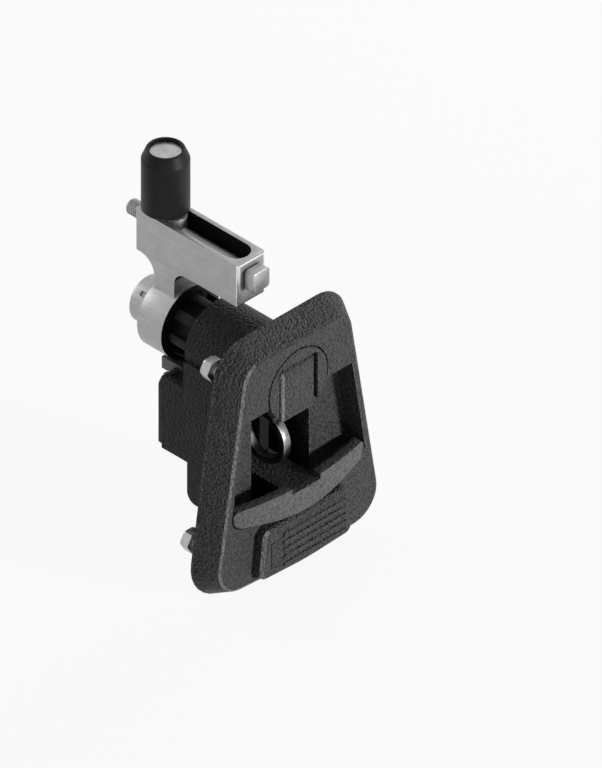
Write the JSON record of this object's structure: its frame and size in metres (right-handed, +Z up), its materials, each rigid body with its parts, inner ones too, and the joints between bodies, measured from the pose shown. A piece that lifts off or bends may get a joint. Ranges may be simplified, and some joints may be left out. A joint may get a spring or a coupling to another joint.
{
  "type": "cam latch",
  "caption": "Recessed pull-handle cam latch: a black bezel with a pull bar and padlock eye, a box housing behind the panel, and a turning steel arm with an adjustable roller.",
  "frame": {"origin": "on the cam axis, where it crosses the bezel face that lies on the panel", "axes": "+X to the right seen from outside, +Y back through the panel along the cam axis, +Z up along the arm at rest"},
  "size_m": [0.1116, 0.1131, 0.1914],
  "materials": {
    "black_coat": "coarse powder coat",
    "housing_black": "satin black",
    "cover_dark": "satin dark grey",
    "bracket_grey": "dull plated steel",
    "bright_steel": "bright zinc plate",
    "cam_steel": "satin plated steel",
    "bronze": "plain bronze",
    "roller_black": "smooth matte black"
  },
  "bodies": {
    "base": {"bezel": "black_coat", "housing": "housing_black", "rear_cover": "cover_dark", "cover_screws": "bright_steel", "mounting_studs": "bright_steel", "stud_nuts": "bright_steel", "padlock_eye": "bright_steel", "stop_bracket": "bracket_grey", "bearing_collar": "housing_black", "bearing_bush": "bronze", "lock_body": "black_coat", "lever_pivot_pin": "bright_steel", "lever_return_spring": "bright_steel", "button_spring": "bright_steel"},
    "handle": {"t_handle": "black_coat", "drive_pin": "bright_steel"},
    "slide": {"drive_slide": "bracket_grey"},
    "cam": {"cam_shaft": "bright_steel", "crank_pin": "bright_steel", "cam_arm": "cam_steel", "cam_nut": "cam_steel"},
    "screw": {"adjusting_screw": "cam_steel"},
    "carrier": {"roller_carrier": "cam_steel", "roller_pin": "bright_steel"},
    "roller": {"roller": "roller_black"},
    "cover": {"key_cover": "black_coat"},
    "plug": {"key_plug": "bright_steel"},
    "button": {"release_button": "black_coat"}
  },
  "joints": [
    {"name": "lever_swing", "type": "hinge", "parent": "base", "child": "handle", "pos_m": [0, 0.013, -0.0068], "axis": [-1, 0, 0], "range_deg": [0, 40], "stiffness_Nm_per_rad": 0.6, "springref_deg": -22.92},
    {"name": "slide_drop", "type": "slide", "parent": "base", "child": "slide", "axis": [0, 0, -1], "range_m": [0, 0.0103]},
    {"name": "cam_turn", "type": "hinge", "parent": "base", "child": "cam", "pos_m": [0, 0.055, 0], "axis": [0, 1, 0], "range_deg": [0, 90]},
    {"name": "screw_turn", "type": "hinge", "parent": "cam", "child": "screw", "pos_m": [0, 0.0167, 0.0452], "axis": [0, -1, 0], "range_deg": [0, 10800]},
    {"name": "roller_shift", "type": "slide", "parent": "cam", "child": "carrier", "axis": [0, -1, 0], "range_m": [0, 0.0375]},
    {"name": "roller_spin", "type": "hinge", "parent": "carrier", "child": "roller", "pos_m": [0, 0.0716, 0.07], "axis": [0, 0, 1], "continuous": true},
    {"name": "cover_slide", "type": "slide", "parent": "base", "child": "cover", "axis": [0, 0, -1], "range_m": [0, 0.012]},
    {"name": "key_turn", "type": "hinge", "parent": "base", "child": "plug", "pos_m": [0, -0.005, 0.005], "axis": [0, 1, 0], "range_deg": [0, 90]},
    {"name": "button_press", "type": "slide", "parent": "base", "child": "button", "axis": [0, 1, 0], "range_m": [0, 0.003], "stiffness_N_per_m": 800, "springref_m": -0.003, "deforming": ["button_spring"]}
  ],
  "couplings": [
    {"joint": "slide_drop", "follows": "lever_swing", "m_per_rad": 0.014697},
    {"joint": "cam_turn", "follows": "lever_swing", "ratio": 2.25},
    {"joint": "screw_turn", "follows": "roller_shift", "rad_per_m": 5026.5}
  ]
}
